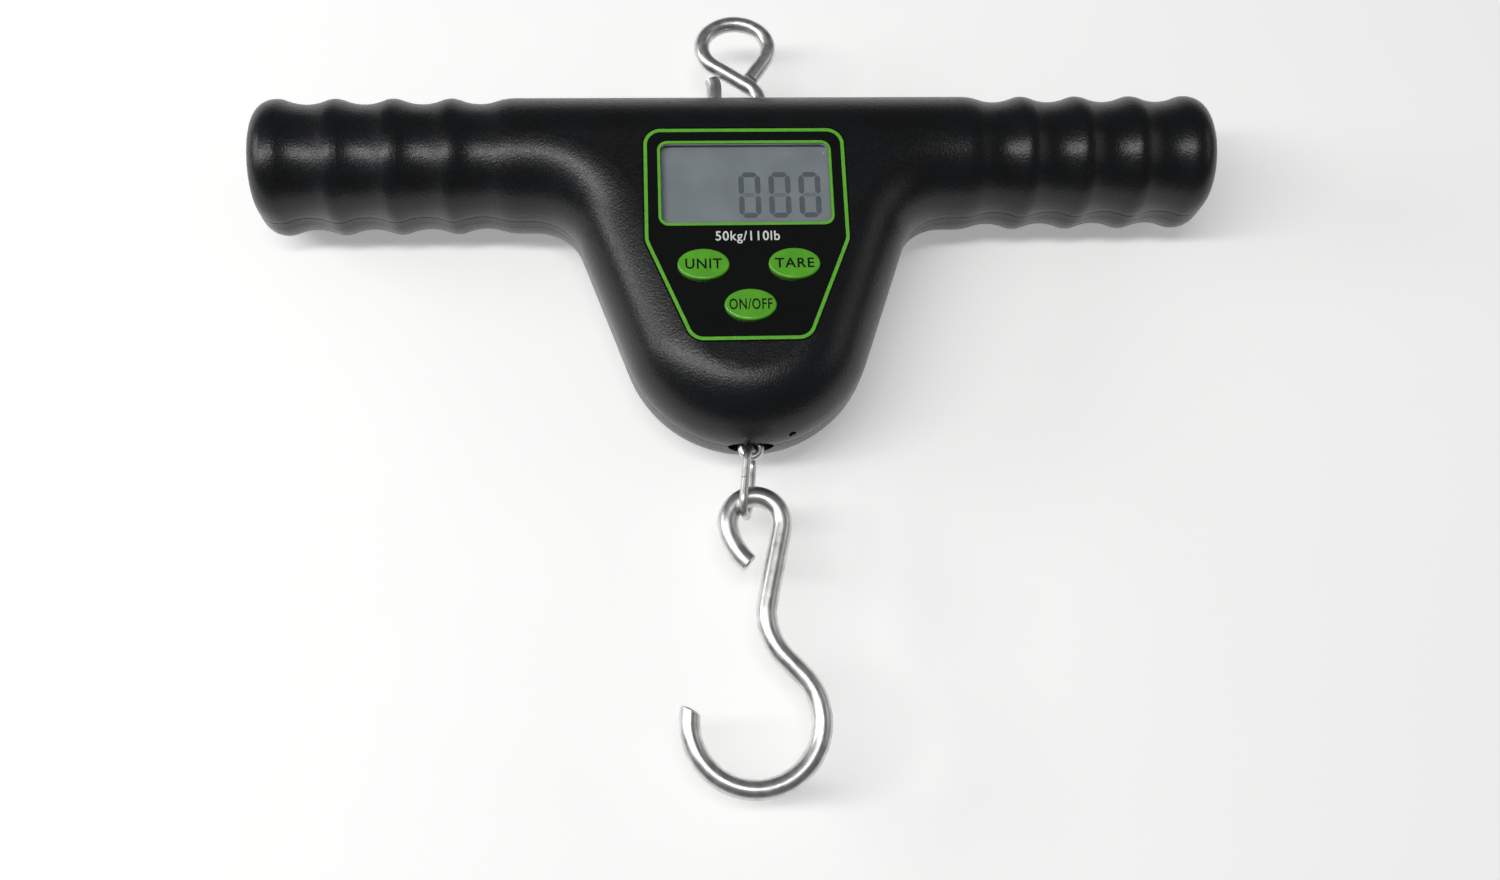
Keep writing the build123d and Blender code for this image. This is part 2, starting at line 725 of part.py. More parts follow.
def leaf(x, z_wall, towards):
    """Bent sheet-metal spring between the end wall and a battery."""
    gap = 3.1
    points = [(0, 0), (7.6, 0), (7.6, 0.3), (0.7, 0.3), (3.9, gap), (7.0, 1.0), (7.2, 1.2), (3.9, gap + 0.35)]
    points.append((0, 0.35))
    bent = [(u - 3.8, z_wall + towards * v) for u, v in points]
    face = Face(Wire.make_polygon([(x - 2.5, aaa_y + u, z) for u, z in bent], close=True))
    return extrude(face, amount=5.0, dir=(1, 0, 0))


def battery_contacts():
    x = aaa_d / 2 + 0.35
    inside = 0.03
    bridge = block(-x - 3.6, x + 3.6, aaa_y - 3.8, aaa_y + 3.8, bay_top - 0.33, bay_top - inside)
    bridge += leaf(x, bay_top - 0.3, -1)
    plate = block(x - 3.6, x + 3.6, aaa_y - 3.8, aaa_y + 3.8, bay_low + inside, bay_low + 0.33)
    plate += block(x - 1.4, x + 1.4, aaa_y - 2.4, aaa_y - 2.0, bay_low - 4.0, bay_low + 0.2)
    low_leaf = leaf(-x, bay_low + inside, 1)
    low_leaf += block(-x - 1.4, -x + 1.4, aaa_y - 2.4, aaa_y - 2.0, bay_low - 4.0, bay_low + 0.2)
    return [bridge, plate, low_leaf]


def lead(points, diameter, name):
    """Insulated wire along straight runs joined by arcs as large as the runs allow."""
    vectors = [Vector(*point) for point in points]
    radii = []
    for before, at, after in zip(vectors, vectors[1:], vectors[2:]):
        turn = math.radians((at - before).get_angle(after - at))
        radii.append(0.45 * min((at - before).length, (after - at).length) / math.tan(turn / 2))
    print(name, "bend radii", [round(radius, 1) for radius in radii])
    path = FilletPolyline(*points, radius=radii)
    start = Plane(origin=path @ 0, z_dir=path % 0)
    return sweep(start * Circle(diameter / 2), path=path)


def battery_lead(side, board_x, name):
    x = side * (aaa_d / 2 + 0.35)
    tab_z = bay_low - 4.8
    points = [(x, aaa_y - 3.0, tab_z), (x, 1.0, tab_z - 0.4), (x * 0.9, -4.2, tab_z + 2.2),
              (board_x, -5.6, -53.0), (board_x, board_back + 0.65, -50.5)]
    return lead(points, 1.2, name)


def load_cell_lead():
    points = [(8.6, -5.1, -17.0), (12.0, -5.2, -21.0), (13.0, -5.6, -29.0), (11.5, -6.0, -36.0),
              (10.0, board_back + 0.85, -40.0)]
    return lead(points, 1.6, "load_cell_lead")


# ---------------------------------------------------------------- fasteners
def screw(place, head_d, head_h, seat, shank_d, end, from_back):
    """Pan-head screw along Y with a cross recess; the seat is the face under its head."""
    side = 1 if from_back else -1
    head_top = seat + side * head_h
    head = post(place, head_d, max(seat, head_top), min(seat, head_top))
    shank = post(place, shank_d, max(seat, end), min(seat, end))
    body = head + shank
    recess = head_top - side * head_h * 0.5
    for width, height in ((head_d * 0.55, head_d * 0.14), (head_d * 0.14, head_d * 0.55)):
        cut = Pos(place[0], place[1]) * Rectangle(width, height)
        body -= slab(cut, max(head_top, recess), min(head_top, recess))
    return body


def case_screws():
    seat = case_screw_seat + 0.02
    return [screw(place, 5.0, 2.0, seat, case_screw_d, case_screw_end, True) for place in case_screw_places]


def board_screws():
    return [screw(place, 3.8, 1.3, board_back + 0.02, 1.66, -13.6, True) for place in board_screw_places]


def cell_screws():
    return [screw(place, 5.4, 1.9, -cell_t / 2 - 0.02, 3.0, 11.0, False) for place in cell_screw_places]


# ---------------------------------------------------------------- output
def save(name, shape):
    solids = shape if isinstance(shape, list) else [shape]
    lowered = [Pos(0, 0, -grip_drop) * solid for solid in solids]
    if len(lowered) == 1:
        export_step(lowered[0], f"parts/{name}.step")
    else:
        export_step(Compound(children=lowered), f"parts/{name}.step")


def main():
    os.makedirs("parts", exist_ok=True)
    save("hang_ring", hang_ring())
    save("front_shell", front_shell())
    save("rear_shell", rear_shell())
    save("battery_cover", battery_cover())
    save("label_overlay", label_overlay())
    save("display_window", display_window())
    for name, place in key_places.items():
        save(name, key(place))
    save("display_frame", display_frame())
    save("display_module", display_module())
    save("zebra_strips", zebra_strips())
    save("circuit_board", circuit_board())
    save("tact_switches", tact_switches())
    save("board_components", board_components())
    save("load_cell", load_cell())
    save("strain_gauges", strain_gauges())
    save("upper_eye_bolt", upper_eye_bolt())
    save("lower_eye_bolt", lower_eye_bolt())
    save("lock_nuts", lock_nuts())
    save("batteries", batteries())
    save("battery_contacts", battery_contacts())
    save("battery_lead_red", battery_lead(-1, -7.5, "battery_lead_red"))
    save("battery_lead_black", battery_lead(1, 2.5, "battery_lead_black"))
    save("load_cell_lead", load_cell_lead())
    save("case_screws", case_screws())
    save("board_screws", board_screws())
    save("cell_screws", cell_screws())
    save("link", link())
    save("hook", hook())


main()
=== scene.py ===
"""Hanging scale with a T-shaped grip: its finishes, print, screen, wirework and studio."""
import math

import bmesh
import bpy
from bpy.props import FloatProperty, FloatVectorProperty, PointerProperty, StringProperty
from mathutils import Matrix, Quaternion, Vector


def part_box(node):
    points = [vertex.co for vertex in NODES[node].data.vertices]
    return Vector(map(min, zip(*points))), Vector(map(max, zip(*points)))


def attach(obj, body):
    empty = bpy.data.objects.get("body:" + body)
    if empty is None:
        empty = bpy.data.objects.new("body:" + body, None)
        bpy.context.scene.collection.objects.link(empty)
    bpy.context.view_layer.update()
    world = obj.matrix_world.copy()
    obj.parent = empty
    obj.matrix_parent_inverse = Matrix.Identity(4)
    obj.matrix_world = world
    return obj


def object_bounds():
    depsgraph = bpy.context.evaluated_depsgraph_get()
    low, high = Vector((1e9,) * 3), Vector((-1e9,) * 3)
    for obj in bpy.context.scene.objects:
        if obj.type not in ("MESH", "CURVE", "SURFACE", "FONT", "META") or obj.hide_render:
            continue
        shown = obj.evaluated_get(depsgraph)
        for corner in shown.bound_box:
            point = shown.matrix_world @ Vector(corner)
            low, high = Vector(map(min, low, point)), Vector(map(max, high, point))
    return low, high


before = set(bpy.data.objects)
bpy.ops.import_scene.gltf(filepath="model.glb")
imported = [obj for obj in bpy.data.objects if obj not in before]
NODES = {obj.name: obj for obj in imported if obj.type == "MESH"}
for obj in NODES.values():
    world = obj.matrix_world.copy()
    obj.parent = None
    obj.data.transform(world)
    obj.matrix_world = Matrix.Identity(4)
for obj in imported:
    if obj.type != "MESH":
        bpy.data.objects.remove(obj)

bl_info = {
    "name": "T-Bar Hanging Scale",
    "version": (1, 0, 0),
    "blender": (4, 5, 0),
    "location": "View3D > Sidebar > Hanging Scale",
    "description": "Finishes, printed film, screen, wirework and studio for a digital hanging scale",
    "category": "Object",
}

MM = 0.001
CAD_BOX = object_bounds()
HOUSING = "housing"
CAPITAL_HEIGHT = 0.682  # of the built-in letters, at size 1
WAVE_SPAN = math.pi / 10  # from band to band of a wave texture, at scale 1
PRINT_SUNK = 0.01 * MM  # how far a print reaches into what it is printed on
PRINT_RISE = 0.03 * MM  # how far the label's and the display's prints stand out
LEGEND_RISE = 0.02 * MM  # how far the keys' legends stand out
LINE_START = 0.03 * MM  # from the window's edge to the line round it
KEY_BODIES = {"key_unit": "unit_key", "key_tare": "tare_key", "key_power": "power_key"}


# ---------------------------------------------------------------- helpers
def linear(hex_colour):
    """An sRGB hex colour as the linear red, green and blue that shaders take."""
    channels = [int(hex_colour[i:i + 2], 16) / 255 for i in (1, 3, 5)]
    return [c / 12.92 if c <= 0.04045 else ((c + 0.055) / 1.055) ** 2.4 for c in channels]


def opaque(colour):
    return (*colour[:3], 1.0)


def colour_property(name, description, hex_colour):
    return FloatVectorProperty(name=name, description=description, subtype="COLOR", size=3, min=0.0, max=1.0,
                               default=linear(hex_colour))


def length_property(name, description, millimetres):
    return FloatProperty(name=name, description=description, unit="LENGTH", min=0.0, precision=5,
                         default=millimetres * MM)


def plug(tree, node, inputs):
    """Fills a node's sockets, with a value each or with a link from another node's output."""
    for name, value in inputs.items():
        if isinstance(value, bpy.types.NodeSocket):
            tree.links.new(value, node.inputs[name])
        else:
            node.inputs[name].default_value = value


def add_node(tree, kind, inputs=None, **settings):
    """Adds one node with its settings, its sockets' values and its links."""
    node = tree.nodes.new(kind)
    for name, value in settings.items():
        setattr(node, name, value)
    plug(tree, node, inputs or {})
    return node


def new_finish(name):
    """Starts a material. The places are the piece's own coordinates, in metres."""
    material = bpy.data.materials.new(name)
    material.use_nodes = True
    tree = material.node_tree
    places = add_node(tree, "ShaderNodeTexCoord").outputs["Object"]
    return material, tree, tree.nodes["Principled BSDF"], places


def mottled_colour(tree, places, size, dark, light):
    """Drifts between two colours in blotches of a real size."""
    noise = add_node(tree, "ShaderNodeTexNoise", {"Vector": places, "Scale": 1 / size, "Detail": 4.0})
    spread = add_node(tree, "ShaderNodeMapRange", {
        "Value": noise.outputs["Fac"], "From Min": 0.3, "From Max": 0.7})
    mix = add_node(tree, "ShaderNodeMix", {0: spread.outputs["Result"], 6: opaque(dark), 7: opaque(light)},
                   data_type="RGBA")
    return mix.outputs[2]


def mottled_value(tree, places, size, low, high):
    """Drifts between two values, such as a roughness, in blotches of a real size."""
    noise = add_node(tree, "ShaderNodeTexNoise", {"Vector": places, "Scale": 1 / size, "Detail": 3.0})
    spread = add_node(tree, "ShaderNodeMapRange", {
        "Value": noise.outputs["Fac"], "From Min": 0.3, "From Max": 0.7, "To Min": low, "To Max": high})
    return spread.outputs["Result"]


def pitted(tree, places, size, depth, strength=1.0):
    """A normal broken up by pits of a real size and depth."""
    noise = add_node(tree, "ShaderNodeTexNoise", {"Vector": places, "Scale": 1 / size, "Detail": 2.0})
    bump = add_node(tree, "ShaderNodeBump", {
        "Strength": strength, "Distance": depth, "Height": noise.outputs["Fac"]})
    return bump.outputs["Normal"]


def paint(material, *nodes):
    """Gives a material to each of these nodes, in every slot that it has."""
    for node in nodes:
        materials = NODES[node].data.materials
        materials.clear()
        materials.append(material)


def add_piece(name, mesh, material, body):
    """Makes a finished mesh a piece that rides on a body."""
    mesh.materials.clear()
    mesh.materials.append(material)
    piece = bpy.data.objects.new(name, mesh)
    bpy.context.scene.collection.objects.link(piece)
    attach(piece, body)
    return piece


def plate_mesh(name, outlines, y_back, y_front):
    """Flat plates between two depths, one for each closed outline of (x, z) points."""
    mesh = bpy.data.meshes.new(name)
    shape = bmesh.new()
    for outline in outlines:
        back = [shape.verts.new((x, y_back, z)) for x, z in outline]
        front = [shape.verts.new((x, y_front, z)) for x, z in outline]
        shape.faces.new(front)
        shape.faces.new(back[::-1])
        for i in range(len(outline)):
            j = (i + 1) % len(outline)
            shape.faces.new((front[i], back[i], back[j], front[j]))
    bmesh.ops.recalc_face_normals(shape, faces=shape.faces)
    shape.to_mesh(mesh)
    shape.free()
    return mesh


def front_loops(node):
    """The outlines of a node's frontmost face as closed loops of (x, z), the longest first."""
    mesh = NODES[node].data
    front = min(vertex.co.y for vertex in mesh.vertices)
    edges = set()
    for polygon in mesh.polygons:
        corners = [mesh.vertices[i].co for i in polygon.vertices]
        if any(corner.y - front > 0.01 * MM for corner in corners):
            continue
        flat = [(corner.x, corner.z) for corner in corners]
        for edge in zip(flat, flat[1:] + flat[:1]):
            if edge[::-1] in edges:
                edges.remove(edge[::-1])
            else:
                edges.add(edge)
    following = dict(edges)
    loops = []
    while following:
        start, at = following.popitem()
        loop = [Vector(start)]
        while at != start:
            loop.append(Vector(at))
            at = following.pop(at)
        loops.append(loop)
    return sorted(loops, key=lambda loop: -sum((a - b).length for a, b in zip(loop, loop[1:])))


def grown(loop, distance):
    """The loop moved outwards by a distance, or inwards by a negative one."""
    ring = list(zip(loop[-1:] + loop[:-1], loop, loop[1:] + loop[:1]))
    outside = 1 if sum(at.cross(after) for _, at, after in ring) > 0 else -1
    moved = []
    for before, at, after in ring:
        first, second = (at - before).normalized(), (after - at).normalized()
        mitre = (first + second).normalized()
        outwards = Vector((mitre.y, -mitre.x)) * outside
        moved.append(at + outwards * distance / max(0.5, mitre.dot(first)))
    return moved


def band_mesh(name, inner, outer, y_back, y_front):
    """A closed band between two loops with the same number of points."""
    mesh = bpy.data.meshes.new(name)
    shape = bmesh.new()
    rings = []
    for loop, y in ((outer, y_front), (inner, y_front), (inner, y_back), (outer, y_back)):
        rings.append([shape.verts.new((point.x, y, point.y)) for point in loop])
    for ring, following in zip(rings, rings[1:] + rings[:1]):
        for i in range(len(ring)):
            j = (i + 1) % len(ring)
            shape.faces.new((ring[i], ring[j], following[j], following[i]))
    bmesh.ops.recalc_face_normals(shape, faces=shape.faces)
    shape.to_mesh(mesh)
    shape.free()
    return mesh


def word_mesh(name, words, centre, width, height, y_back, y_front, boldness):
    """Printed words as thin solid letters, fitted to a width and a capital's height."""
    curve = bpy.data.curves.new(name, "FONT")
    curve.body = words
    curve.size = 1.0
    curve.offset = boldness
    curve.extrude = 0.5
    curve.space_character = 1.12
    curve.resolution_u = 6
    text = bpy.data.objects.new(name, curve)
    bpy.context.scene.collection.objects.link(text)
    mesh = bpy.data.meshes.new_from_object(text.evaluated_get(bpy.context.evaluated_depsgraph_get()))
    bpy.data.objects.remove(text)
    across = [vertex.co.x for vertex in mesh.vertices]
    scale_x = width / (max(across) - min(across))
    scale_z = height / (CAPITAL_HEIGHT + 2 * boldness)
    middle_x = (max(across) + min(across)) / 2
    middle_z = CAPITAL_HEIGHT / 2
    x, z = centre
    for vertex in mesh.vertices:
        u, v, w = vertex.co
        vertex.co = (x + (u - middle_x) * scale_x, y_front if w > 0 else y_back, z + (v - middle_z) * scale_z)
    shape = bmesh.new()
    shape.from_mesh(mesh)
    bmesh.ops.remove_doubles(shape, verts=shape.verts, dist=0.001 * MM)
    bmesh.ops.recalc_face_normals(shape, faces=shape.faces)
    shape.to_mesh(mesh)
    shape.free()
    return mesh


# ---------------------------------------------------------------- settings
class CaseSettings(bpy.types.PropertyGroup):
    """Colours and grain of the moulded grip."""
    plastic_dark: colour_property("Plastic, dark", "Darker tone of the black plastic", "#08090a")
    plastic_light: colour_property("Plastic, light", "Lighter tone of the black plastic", "#101215")
    grain_size: length_property("Grain", "Spacing of the moulded grain", 0.55)
    grain_depth: length_property("Grain depth", "Depth of the moulded grain", 0.07)


class LabelSettings(bpy.types.PropertyGroup):
    """Colours and line widths of the printed film on the front."""
    film: colour_property("Film", "Colour of the label's film", "#020303")
    ink: colour_property("Line ink", "Green of the printed lines", "#6cc23a")
    words_ink: colour_property("Word ink", "White of the printed words", "#eef0ee")
    words: StringProperty(name="Capacity", description="Words under the window", default="50kg/110lb")
    border_margin: length_property("Border margin", "Film outside the border line", 0.3)
    border_width: length_property("Border width", "Width of the border line", 0.85)
    window_line: length_property("Window line", "Width of the line round the window", 0.68)
    words_width: length_property("Words width", "Width of the printed capacity", 15.5)
    words_height: length_property("Words height", "Height of the printed capacity's capitals", 2.45)
    words_drop: length_property("Words drop", "From the window's middle down to the words", 14.05)


class KeySettings(bpy.types.PropertyGroup):
    """Colours and legends of the three keys."""
    plastic: colour_property("Key", "Green of the key caps", "#62bb2c")
    ink: colour_property("Legend ink", "Black of the legends", "#040504")
    unit_words: StringProperty(name="Unit key", description="Legend of the unit key", default="UNIT")
    tare_words: StringProperty(name="Tare key", description="Legend of the tare key", default="TARE")
    power_words: StringProperty(name="Power key", description="Legend of the power key", default="ON/OFF")


class ScreenSettings(bpy.types.PropertyGroup):
    """Colours and figures of the display."""
    glass: colour_property("Display", "Grey of the reflective display", "#bcbfc5")
    glass_dark: colour_property("Display, dark", "Darker tone of the display", "#adb0b6")
    lit: colour_property("Lit segments", "Dark segments of the figures", "#868b94")
    unlit: colour_property("Unlit segments", "Faint segments of the figures", "#a7abb2")
    figure_height: length_property("Figure height", "Height of a figure", 12.2)
    figure_width: length_property("Figure width", "Width of a figure", 5.4)
    figure_pitch: length_property("Figure pitch", "From one figure to the next", 7.4)
    segment_width: length_property("Segment width", "Width of a segment", 1.35)
    segment_gap: length_property("Segment gap", "Gap between segments", 0.25)
    figures_drop: length_property("Figures drop", "From the window's middle down to the figures", 2.2)
    last_figure: length_property("Last figure", "From the window's middle to the last figure", 15.9)


class WireSettings(bpy.types.PropertyGroup):
    """Colours of the bent wire and the metal parts."""
    stainless_dark: colour_property("Stainless, dark", "Darker tone of the wire", "#c4c4c2")
    stainless_light: colour_property("Stainless, light", "Lighter tone of the wire", "#e2e2e0")
    zinc: colour_property("Zinc", "Bluish zinc plating", "#b9bfc4")
    aluminium: colour_property("Aluminium", "Machined aluminium", "#c6c8ca")
    nickel: colour_property("Nickel", "Nickel plating of the springs", "#c9c3b4")


class StudioSettings(bpy.types.PropertyGroup):
    """The pale sheet that the scale lies on, its lights and its camera."""
    sheet: colour_property("Sheet", "White of the sheet behind the scale", "#f4f4f3")
    sheet_gap: length_property("Sheet gap", "From the back of the scale to the sheet", 0.6)
    aim: FloatVectorProperty(name="Aim", description="Point that the camera looks at", subtype="TRANSLATION",
                             unit="LENGTH", default=(-0.00014, 0.0, -0.1127))
    distance: length_property("Distance", "From the camera to its aim", 364.75)
    azimuth: FloatProperty(name="Azimuth", description="How far left of the front the camera stands",
                           unit="ROTATION", default=math.radians(4.234))
    drop: FloatProperty(name="Drop", description="How far below the front the camera stands",
                        unit="ROTATION", default=math.radians(16.347))
    roll: FloatProperty(name="Roll", description="How far the camera leans", unit="ROTATION",
                        default=math.radians(-2.302))
    lens: FloatProperty(name="Lens", description="Focal length in millimetres", default=36.0, min=1.0)
    world_light: FloatProperty(name="Room light", description="Strength of the room's even light",
                               default=0.13, min=0.0)
    sheet_glow: FloatProperty(name="Sheet glow", description="Light that comes through the sheet from behind",
                              default=0.34, min=0.0)


# ---------------------------------------------------------------- finishes of the housing
def eroded_abs(case):
    """ABS from a spark-eroded mould: deep black, and its grain breaks each highlight into a sparkle."""
    material, tree, shader, places = new_finish("ABS, spark-eroded black")
    plug(tree, shader, {
        "Base Color": mottled_colour(tree, places, 12 * MM, case.plastic_dark, case.plastic_light),
        "Roughness": mottled_value(tree, places, 0.9 * MM, 0.27, 0.37),
        "Specular IOR Level": 0.42,
        "Normal": pitted(tree, places, case.grain_size, case.grain_depth),
    })
    return material


def polycarbonate_film(label):
    """Printed polycarbonate film, back-printed black: a hard gloss with faint waves from its adhesive."""
    material, tree, shader, places = new_finish("Polycarbonate film, gloss black")
    tone = [channel * 1.6 for channel in label.film]
    plug(tree, shader, {
        "Base Color": mottled_colour(tree, places, 9 * MM, label.film, tone),
        "Roughness": mottled_value(tree, places, 6 * MM, 0.09, 0.15),
        "IOR": 1.58,
        "Normal": pitted(tree, places, 16 * MM, 0.02 * MM, 0.6),
    })
    return material


def screen_ink(name, ink):
    """Screen-printed ink or a display segment: even, a little satin, with a fine texture."""
    material, tree, shader, places = new_finish(name)
    tone = [channel * 0.82 for channel in ink]
    plug(tree, shader, {
        "Base Color": mottled_colour(tree, places, 1.5 * MM, tone, ink),
        "Roughness": mottled_value(tree, places, 1.0 * MM, 0.48, 0.6),
        "Specular IOR Level": 0.2,
        "Normal": pitted(tree, places, 0.3 * MM, 0.01 * MM, 0.5),
    })
    return material


def clear_acrylic():
    """Cast acrylic pane: clear, with a skin that mirrors the lights."""
    material, tree, shader, places = new_finish("Acrylic, clear")
    clear = add_node(tree, "ShaderNodeBsdfTransparent", {"Color": (0.93, 0.95, 0.95, 1.0)})
    haze = mottled_value(tree, places, 5 * MM, 0.03, 0.07)
    skin = add_node(tree, "ShaderNodeBsdfGlossy", {"Roughness": haze})
    share = add_node(tree, "ShaderNodeFresnel", {"IOR": 1.49})
    mix = add_node(tree, "ShaderNodeMixShader", {
        0: share.outputs[0], 1: clear.outputs[0], 2: skin.outputs[0]})
    tree.links.new(mix.outputs[0], tree.nodes["Material Output"].inputs["Surface"])
    tree.nodes.remove(shader)
    return material


def gloss_abs(keys):
    """Polished, dyed ABS key cap: bright and even with a hard gloss on its rounded rim."""
    material, tree, shader, places = new_finish("ABS, polished green")
    tone = [channel * 0.8 for channel in keys.plastic]
    plug(tree, shader, {
        "Base Color": mottled_colour(tree, places, 4 * MM, tone, keys.plastic),
        "Roughness": mottled_value(tree, places, 3 * MM, 0.18, 0.28),
        "IOR": 1.54,
        "Coat Weight": 0.3,
        "Coat Roughness": 0.06,
        "Normal": pitted(tree, places, 2.5 * MM, 0.02 * MM, 0.5),
    })
    return material


# ---------------------------------------------------------------- finishes of the screen and board
def reflective_display(screen):
    """Reflective liquid-crystal cell: a satin grey with the fine speckle of its rear reflector."""
    material, tree, shader, places = new_finish("Display cell, reflective grey")
    plug(tree, shader, {
        "Base Color": mottled_colour(tree, places, 7 * MM, screen.glass_dark, screen.glass),
        "Roughness": mottled_value(tree, places, 0.4 * MM, 0.42, 0.62),
        "Normal": pitted(tree, places, 0.35 * MM, 0.01 * MM, 0.5),
    })
    return material


def moulded_styrene():
    """Black high-impact styrene, satin from a plain mould."""
    material, tree, shader, places = new_finish("Styrene, satin black")
    plug(tree, shader, {
        "Base Color": mottled_colour(tree, places, 5 * MM, linear("#1a1b1d"), linear("#232528")),
        "Roughness": mottled_value(tree, places, 1.5 * MM, 0.45, 0.6),
        "Normal": pitted(tree, places, 0.5 * MM, 0.02 * MM),
    })
    return material


def layered_silicone():
    """Connector strip of silicone with carbon-filled layers every 0.3 mm along its length."""
    material, tree, shader, places = new_finish("Silicone, layered")
    layers = add_node(tree, "ShaderNodeTexWave", {"Vector": places, "Scale": WAVE_SPAN / (0.3 * MM)},
                      bands_direction="X")
    mix = add_node(tree, "ShaderNodeMix", {
        0: layers.outputs["Fac"], 6: opaque(linear("#2a2a2c")), 7: opaque(linear("#c98f92"))},
        data_type="RGBA")
    plug(tree, shader, {
        "Base Color": mix.outputs[2],
        "Roughness": mottled_value(tree, places, 1 * MM, 0.6, 0.75),
        "Normal": pitted(tree, places, 0.4 * MM, 0.01 * MM),
    })
    return material


def solder_mask():
    """Glass-epoxy board under green solder mask: copper tracks show as lighter lines in a square grid."""
    material, tree, shader, places = new_finish("Glass epoxy, green solder mask")
    turned = add_node(tree, "ShaderNodeMapping", {"Vector": places, "Rotation": (math.radians(90), 0, 0)})
    tracks = add_node(tree, "ShaderNodeTexBrick", {
        "Vector": turned.outputs[0], "Scale": 0.5 / (2.54 * MM), "Mortar Size": 0.035, "Mortar Smooth": 0.2,
        "Color1": opaque(linear("#0d4a24")), "Color2": opaque(linear("#115a2c")),
        "Mortar": opaque(linear("#2b8a4c"))}, offset=0.5)
    bump = add_node(tree, "ShaderNodeBump", {"Distance": 0.04 * MM, "Height": tracks.outputs["Fac"]})
    plug(tree, shader, {
        "Base Color": tracks.outputs["Color"],
        "Roughness": mottled_value(tree, places, 6 * MM, 0.28, 0.4),
        "Normal": bump.outputs["Normal"],
    })
    return material


def moulded_epoxy():
    """Black epoxy of chips and potted parts: matt with a faint grey bloom."""
    material, tree, shader, places = new_finish("Epoxy, moulded black")
    plug(tree, shader, {
        "Base Color": mottled_colour(tree, places, 2 * MM, linear("#151515"), linear("#2c2c2c")),
        "Roughness": mottled_value(tree, places, 0.8 * MM, 0.5, 0.7),
        "Normal": pitted(tree, places, 0.25 * MM, 0.02 * MM),
    })
    return material


def phenolic_switch():
    """Phenolic switch body: hard brown-black with a low gloss."""
    material, tree, shader, places = new_finish("Phenolic, brown-black")
    plug(tree, shader, {
        "Base Color": mottled_colour(tree, places, 1.5 * MM, linear("#17120f"), linear("#2a221d")),
        "Roughness": mottled_value(tree, places, 1 * MM, 0.35, 0.5),
        "Normal": pitted(tree, places, 0.4 * MM, 0.02 * MM),
    })
    return material


def polyimide_gauge():
    """Amber polyimide film: the gauge's foil shows as fine lines 0.4 mm apart."""
    material, tree, shader, places = new_finish("Polyimide, amber")
    foil = add_node(tree, "ShaderNodeTexWave", {"Vector": places, "Scale": WAVE_SPAN / (0.4 * MM)},
                    bands_direction="Z")
    mix = add_node(tree, "ShaderNodeMix", {
        0: foil.outputs["Fac"], 6: opaque(linear("#b9761e")), 7: opaque(linear("#d9b27c"))}, data_type="RGBA")
    plug(tree, shader, {
        "Base Color": mix.outputs[2],
        "Roughness": mottled_value(tree, places, 1 * MM, 0.2, 0.32),
        "Normal": pitted(tree, places, 1 * MM, 0.01 * MM),
    })
    return material


# ---------------------------------------------------------------- finishes of metal, cells and leads
def drawn_stainless(wire):
    """Cold-bent stainless wire: a soft mirror, blurred unevenly by drawing marks and handling nicks."""
    material, tree, shader, places = new_finish("Stainless steel, drawn")
    nicks = add_node(tree, "ShaderNodeTexNoise", {"Vector": places, "Scale": 1 / (0.6 * MM), "Detail": 5.0})
    streaks = add_node(tree, "ShaderNodeBump", {
        "Strength": 0.4, "Distance": 0.012 * MM, "Height": nicks.outputs["Fac"]})
    dents = add_node(tree, "ShaderNodeTexNoise", {"Vector": places, "Scale": 1 / (4 * MM), "Detail": 2.0})
    bends = add_node(tree, "ShaderNodeBump", {
        "Strength": 0.4, "Distance": 0.12 * MM, "Height": dents.outputs["Fac"],
        "Normal": streaks.outputs["Normal"]})
    plug(tree, shader, {
        "Base Color": mottled_colour(tree, places, 3 * MM, wire.stainless_dark, wire.stainless_light),
        "Metallic": 1.0,
        "Roughness": mottled_value(tree, places, 1.6 * MM, 0.28, 0.42),
        "Normal": bends.outputs["Normal"],
    })
    return material


def plated_metal(name, colour, rough, smooth, size):
    """Plated or machined metal: crystals or tool marks of a real size vary its gloss."""
    material, tree, shader, places = new_finish(name)
    tone = [channel * 0.78 for channel in colour]
    plug(tree, shader, {
        "Base Color": mottled_colour(tree, places, 3 * size, tone, colour),
        "Metallic": 1.0,
        "Roughness": mottled_value(tree, places, size, smooth, rough),
        "Normal": pitted(tree, places, size, 0.02 * MM, 0.6),
    })
    return material


def milled_aluminium(wire):
    """Milled aluminium bar: cutter marks run across it every 0.5 mm."""
    material, tree, shader, places = new_finish("Aluminium, milled")
    tone = [channel * 0.85 for channel in wire.aluminium]
    marks = add_node(tree, "ShaderNodeTexWave", {
        "Vector": places, "Scale": WAVE_SPAN / (0.5 * MM), "Distortion": 1.5, "Detail": 2.0},
        bands_direction="Z")
    bump = add_node(tree, "ShaderNodeBump", {
        "Strength": 0.4, "Distance": 0.02 * MM, "Height": marks.outputs["Fac"]})
    plug(tree, shader, {
        "Base Color": mottled_colour(tree, places, 8 * MM, tone, wire.aluminium),
        "Metallic": 1.0,
        "Roughness": mottled_value(tree, places, 2 * MM, 0.28, 0.42),
        "Normal": bump.outputs["Normal"],
    })
    return material


